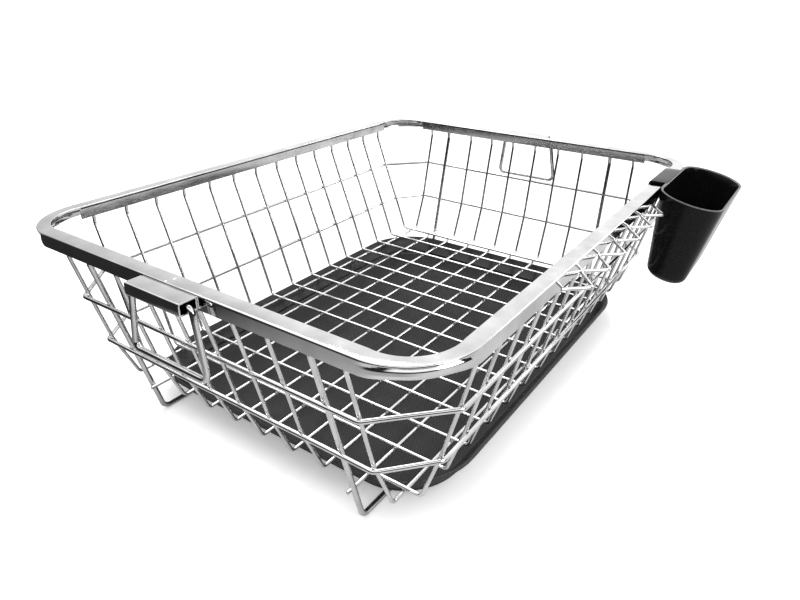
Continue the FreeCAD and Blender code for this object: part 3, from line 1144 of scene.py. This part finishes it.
# ------------------------------------------------------------------------------ cutlery cup
@dataclass
class CutleryCup:
    """Moulded cup that leans outwards, and the hook that holds it on the rim."""

    flat_half: float = 32.5 * MM
    bulge: float = 18.8 * MM
    depth: float = 48.0 * MM
    height: float = 76.5 * MM
    taper: float = 0.63
    wall: float = 1.8 * MM
    lip: float = 1.5 * MM
    tilt_deg: float = 11.0
    gap: float = 1.5 * MM
    mouth_above_rim: float = 2.1 * MM
    round_radius: float = 8.0 * MM
    hook_half: float = 22.0 * MM
    hook_sheet: float = 1.9 * MM
    hook_lip_sheet: float = 1.2 * MM
    hook_gap: float = 0.2 * MM
    hook_play: float = 0.6 * MM
    hook_bend: float = 2.8 * MM
    hook_lip: float = 5.0 * MM
    hook_root: float = 1.2 * MM
    face_width: float = 9.8 * MM
    edge: float = 0.5 * MM

    def build(self, finishes: Finishes) -> None:
        """Make the cup and its hook."""
        span = Span.of("cutlery_cup")
        rim = Span.of("rim_band")
        place = np.array([span.middle[0], rim.low[1] - self.gap, rim.high[2] + self.mouth_above_rim])
        inset, drop, lip_rows = self._profile()
        grid = self._leaned(self._carry(inset, drop), place)
        shell = closed_shell(grid)
        quads, start, end = shell.faces
        columns = grid.shape[1]
        first, last = (row * columns for row in lip_rows)
        # the lip's rows take the lighter copy of the plastic: a painted highlight
        surface = Surface(shell.points, [quads[:first], quads[first:last], quads[last:], start, end],
                          [0, 1, 0, 0, 0])
        hook = self._hook(place[0], rim)
        make_piece("cutlery_cup_moulded", Surface.joined([surface, hook]),
                   [finishes.cup, finishes.cup_lip_highlight], Body.CUP, ("cutlery_cup",))

    def _profile(self) -> tuple[np.ndarray, np.ndarray, tuple[int, int]]:
        """Insets and depths below the mouth, from under the base, over the lip, inside.

        The base meets the wall in a quarter circle, and the lip is half a circle.

        Returns:
            Insets, depths, and the first and last rows of the lip.
        """
        quarter = np.linspace(0.0, math.pi / 2.0, 9)
        half = np.linspace(0.0, math.pi, 9)
        r, t = self.round_radius, self.wall
        walls = np.linspace(1.0, 0.0, 14)[1:-1]
        low = self.height - r
        outside = np.concatenate([r - r * np.sin(quarter), np.zeros(walls.size)])
        outside_drop = np.concatenate([low + r * np.cos(quarter), self.lip + walls * (low - self.lip)])
        lip_inset = t / 2.0 - t / 2.0 * np.cos(half) - 0.35 * MM * np.sin(half)
        lip_drop = self.lip * 0.6 - self.lip * 0.6 * np.sin(half)
        inner = r - t
        inside = np.concatenate([np.full(walls.size, t), t + inner - inner * np.cos(quarter)])
        inside_drop = np.concatenate([self.lip + walls[::-1] * (low - self.lip),
                                      low + inner * np.sin(quarter)])
        inset = np.concatenate([outside, lip_inset, inside])
        drop = np.concatenate([outside_drop, lip_drop, inside_drop])
        return inset, drop, (outside.size, outside.size + half.size - 1)

    def _carry(self, inset: np.ndarray, drop: np.ndarray) -> np.ndarray:
        """Carry the section round the mouth's outline, which shrinks towards the base.

        The outline is two flats along X, joined by half ellipses. Its size falls in a
        straight line from 1 at the mouth to the taper at the base.

        Args:
            inset: insets down the section.
            drop: depths below the mouth.

        Returns:
            (rows, columns, 3) points, with the mouth's back edge along the X axis.
        """
        scale = (1.0 - (1.0 - self.taper) * drop / self.height)[:, None]
        inset = inset[:, None]
        angle = np.linspace(-math.pi / 2.0, math.pi / 2.0, 21)[None, :]
        reach = self.bulge * scale - inset
        half_depth = self.depth / 2.0 * scale - inset
        flat = self.flat_half * scale
        right = np.stack([flat + reach * np.cos(angle), half_depth * np.sin(angle)], axis=-1)
        share = np.linspace(1.0, -1.0, 9)[None, 1:-1]
        back = np.stack([flat * share, half_depth + 0.0 * share], axis=-1)
        loop = np.concatenate([right, back, -right, -back], axis=1)
        y = loop[..., 1] - self.depth / 2.0
        z = np.broadcast_to(-drop[:, None], y.shape)
        return np.stack([loop[..., 0], y, z], axis=-1)

    def _leaned(self, grid: np.ndarray, place: np.ndarray) -> np.ndarray:
        """Lean the cup about the X axis and set it in place.

        Args:
            grid: points in the cup's own frame.
            place: where the middle of the mouth's back edge goes.

        Returns:
            The moved points.
        """
        tilt = math.radians(self.tilt_deg)
        turn = np.array([[1.0, 0.0, 0.0], [0.0, math.cos(tilt), -math.sin(tilt)],
                         [0.0, math.sin(tilt), math.cos(tilt)]])
        return grid @ turn.T + place

    def _hook(self, x: float, rim: Span) -> Surface:
        """The hook: one bent strip, over the rim's face and down inside it.

        The strip's section is a loop in the YZ plane with rounded outer corners, carried
        across the hook's width, and drawn in a little at both ends.

        Args:
            x: middle of the hook.
            rim: the framed rim's box.

        Returns:
            The closed surface.
        """
        t = self.hook_sheet
        low = rim.high[2] + self.hook_gap
        outer = rim.low[1] - self.gap - self.hook_root
        inner = rim.low[1] + self.face_width + self.hook_play
        round_off = np.linspace(0.0, math.pi / 2.0, 6)
        bend = self.hook_bend
        tip = inner + self.hook_lip_sheet
        y = np.concatenate([[outer, outer], tip - bend + bend * np.sin(round_off),
                            [tip, tip - self.edge, inner + self.edge, inner, inner]])
        z = np.concatenate([[low, low + t], low + t - bend + bend * np.cos(round_off),
                            [low - self.hook_lip + self.edge, low - self.hook_lip,
                             low - self.hook_lip, low - self.hook_lip + self.edge, low]])
        stations = np.array([-1.0, -1.0, -0.5, 0.0, 0.5, 1.0, 1.0]) * self.hook_half
        stations[[1, -2]] *= 1.0 - self.edge / self.hook_half
        shrink = np.array([1.0, 0.0, 0.0, 0.0, 0.0, 0.0, 1.0])[:, None] * 0.02
        middle = np.array([y.mean(), z.mean()])
        grid = np.stack([np.broadcast_to(x + stations[:, None], (stations.size, y.size)),
                         y + shrink * (middle[0] - y), z + shrink * (middle[1] - z)], axis=-1)
        return closed_shell(grid)


# ------------------------------------------------------------------------------ the studio
@dataclass
class Studio:
    """The camera, three soft lights, and a floor and tent shaped for the steel's reflections.

    Neither the floor nor the tent is plain. Both are white or pale where seen directly. In
    reflections the floor shows a painted reflection: painted dark outside a dimmed patch of
    painted light. Seen directly it carries a painted glow. The tent has dark sides, a
    bright roof and a dimmer crown.
    """

    camera_place: tuple[float, float, float] = (-0.3896, -0.2807, 0.2890)
    azimuth_deg: float = -57.0
    elevation_deg: float = 21.25
    roll_deg: float = 0.59
    lens_mm: float = 29.31
    shift: tuple[float, float] = (-0.0466, -0.0891)
    floor_half: float = 3.0
    # spot, reach and dimming place a patch of painted light in the floor's reflection; the dark colour is
    # painted dark for reflections only
    painted_light_spot: tuple[float, float] = (0.10, -0.35)
    painted_light_reach: tuple[float, float] = (0.48, 0.72)
    painted_light_dimming: float = 0.38
    floor_painted_glow: float = 0.3
    floor_pale: tuple[float, float, float] = (0.95, 0.95, 0.95)
    floor_painted_dark: tuple[float, float, float] = (0.02, 0.02, 0.02)
    aim_height: float = 0.08
    tent_sides: tuple[tuple[tuple[float, float, float], float, float, float, float], ...] = (
        ((0.94, 0.34, 0.0), -0.2, 0.45, 0.03, 0.75),
        ((1.0, 0.0, 0.0), 0.3, 0.8, 0.95, 1.6),
    )
    tent_roof: tuple[float, float, float, float] = (0.35, 0.7, 0.0, 1.4)
    tent_crown: tuple[float, float, float, float] = (0.86, 0.98, 1.0, 0.4)

    def build(self) -> None:
        """Make the whole studio."""
        self._camera()
        self._floor()
        self._world()
        self._light("key_light", (0.5, 0.9, 1.6), 16.0, (1.2, 0.8))
        self._light("front_light", (-0.2, -1.5, 1.0), 8.0, (0.6, 1.0))
        self._light("cup_light", (1.5, -0.9, 0.7), 5.0, (0.2, 1.0))
        bpy.context.scene.view_settings.view_transform = "Standard"

    def _camera(self) -> None:
        """Stand the camera where the rack is seen from above its front left corner."""
        azimuth, elevation, roll = (math.radians(a) for a in
                                    (self.azimuth_deg, self.elevation_deg, self.roll_deg))
        forward = Vector((-math.sin(azimuth) * math.cos(elevation),
                          math.cos(azimuth) * math.cos(elevation), -math.sin(elevation)))
        level = Vector((math.cos(azimuth), math.sin(azimuth), 0.0))
        upright = level.cross(forward)
        right = level * math.cos(roll) + upright * math.sin(roll)
        up = upright * math.cos(roll) - level * math.sin(roll)
        data = bpy.data.cameras.new("camera")
        data.sensor_width = 36.0
        data.lens = self.lens_mm
        data.shift_x, data.shift_y = self.shift
        data.clip_start = 0.01
        camera = bpy.data.objects.new("camera", data)
        turn = Matrix((right, up, -forward)).transposed().to_4x4()
        camera.matrix_world = Matrix.Translation(self.camera_place) @ turn
        bpy.context.scene.collection.objects.link(camera)
        bpy.context.scene.camera = camera

    def _floor(self) -> None:
        """A floor under the runners: pale where seen directly, dark in reflections.

        Reflected, its colour is a painted reflection: dimmed by a set share inside the patch of
        painted light round the spot, and falling off to painted near black over the reach. Seen
        directly, it also glows a little: a painted glow that lifts the shadow under the rack.
        """
        half = self.floor_half
        mesh = bpy.data.meshes.new("studio_floor")
        mesh.from_pydata([(-half, -half, 0.0), (half, -half, 0.0), (half, half, 0.0),
                          (-half, half, 0.0)], [], [(0, 1, 2, 3)])
        sheet = NodeSheet("floor with painted reflection")
        sheet.set(Roughness=1.0, Specular_IOR_Level=0.0)
        away = sheet.nodes.new("ShaderNodeVectorMath")
        away.operation = "DISTANCE"
        away.inputs[1].default_value = (*self.painted_light_spot, 0.0)
        sheet.links.new(sheet.coordinates.outputs["Object"], away.inputs[0])
        # painted reflection: for glossy rays the floor is a painted patch of light falling off to painted
        # dark
        fall = sheet.remap(away.outputs["Value"], self.painted_light_reach, (self.painted_light_dimming, 1.0))
        path = sheet.nodes.new("ShaderNodeLightPath")
        mirrored = sheet.maths("MULTIPLY", fall, path.outputs["Is Glossy Ray"])
        sheet.feed("Base Color", sheet.blend(mirrored, self.floor_pale, self.floor_painted_dark))
        sheet.set(Emission_Color=(1.0, 1.0, 1.0, 1.0))
        # painted glow: the floor emits a little light where seen directly, lifting the shadow under the
        # rack
        glow = sheet.maths("MULTIPLY", path.outputs["Is Camera Ray"], self.floor_painted_glow)
        sheet.feed("Emission Strength", glow)
        mesh.materials.append(sheet.material)
        floor = bpy.data.objects.new("studio_floor", mesh)
        bpy.context.scene.collection.objects.link(floor)

    def _world(self) -> None:
        """White where seen directly; for all other rays, the tent.

        The tent's strength is the product of its sides, or the roof where that is stronger,
        times the crown. Each is a smooth step in the direction looked in.
        """
        world = bpy.data.worlds.new("tent")
        world.use_nodes = True
        self.nodes, self.links = world.node_tree.nodes, world.node_tree.links
        background = self.nodes["Background"]
        background.inputs["Color"].default_value = (1.0, 1.0, 1.0, 1.0)
        place = self.nodes.new("ShaderNodeTexCoord")
        split = self.nodes.new("ShaderNodeSeparateXYZ")
        self.links.new(place.outputs["Generated"], split.inputs["Vector"])
        sides = []
        for facing, low, high, dim, bright in self.tent_sides:
            dot = self.nodes.new("ShaderNodeVectorMath")
            dot.operation = "DOT_PRODUCT"
            dot.inputs[1].default_value = facing
            self.links.new(place.outputs["Generated"], dot.inputs[0])
            sides.append(self._ramp(dot.outputs["Value"], low, high, dim, bright))
        tent = sides[0]
        for side in sides[1:]:
            tent = self._maths("MULTIPLY", tent, side)
        roof = self._ramp(split.outputs["Z"], *self.tent_roof)
        tent = self._maths("MAXIMUM", tent, roof)
        crown = self._ramp(split.outputs["Z"], *self.tent_crown)
        tent = self._maths("MULTIPLY", tent, crown)
        path = self.nodes.new("ShaderNodeLightPath")
        seen = self._maths("MAXIMUM", tent, path.outputs["Is Camera Ray"])
        self.links.new(seen, background.inputs["Strength"])
        bpy.context.scene.world = world

    def _ramp(self, value: bpy.types.NodeSocket, low: float, high: float, dim: float,
              bright: float) -> bpy.types.NodeSocket:
        """A smooth step from dim to bright as a value goes from low to high.

        Args:
            value: the socket to read.
            low: value at the dim end.
            high: value at the bright end.
            dim: strength given at the low end.
            bright: strength given at the high end.

        Returns:
            The result socket.
        """
        ramp = self.nodes.new("ShaderNodeMapRange")
        ramp.interpolation_type = "SMOOTHSTEP"
        for name, number in zip(("From Min", "From Max", "To Min", "To Max"), (low, high, dim, bright)):
            ramp.inputs[name].default_value = number
        self.links.new(value, ramp.inputs["Value"])
        return ramp.outputs["Result"]

    def _maths(self, operation: str, first: bpy.types.NodeSocket,
               second: bpy.types.NodeSocket) -> bpy.types.NodeSocket:
        """One arithmetic step between two sockets.

        Args:
            operation: the Math node's operation.
            first: left socket.
            second: right socket.

        Returns:
            The result socket.
        """
        node = self.nodes.new("ShaderNodeMath")
        node.operation = operation
        self.links.new(first, node.inputs[0])
        self.links.new(second, node.inputs[1])
        return node.outputs["Value"]

    def _light(self, name: str, place: tuple[float, float, float], watts: float,
               size: tuple[float, float]) -> None:
        """A soft rectangular light aimed at the rack.

        Args:
            name: the light's name.
            place: where it stands.
            watts: its power.
            size: its width and height.
        """
        data = bpy.data.lights.new(name, "AREA")
        data.shape = "RECTANGLE"
        data.size, data.size_y = size
        data.energy = watts
        light = bpy.data.objects.new(name, data)
        aim = Vector((0.0, 0.0, self.aim_height)) - Vector(place)
        light.matrix_world = Matrix.Translation(place) @ aim.to_track_quat("-Z", "Y").to_matrix().to_4x4()
        bpy.context.scene.collection.objects.link(light)


def main() -> None:
    """Build the rack, sub-assembly by sub-assembly, and the studio round it."""
    logging.basicConfig(level=logging.INFO, format="%(name)s %(message)s")
    finishes = Finishes()
    WireBasket().build(finishes)
    SheetRim().build(finishes)
    SwingHandle(Side.LEFT, Body.LEFT_BAIL).build(finishes)
    SwingHandle(Side.RIGHT, Body.RIGHT_BAIL).build(finishes)
    DripTray().build(finishes)
    CutleryCup().build(finishes)
    Studio().build()


if __name__ == "__main__":
    main()
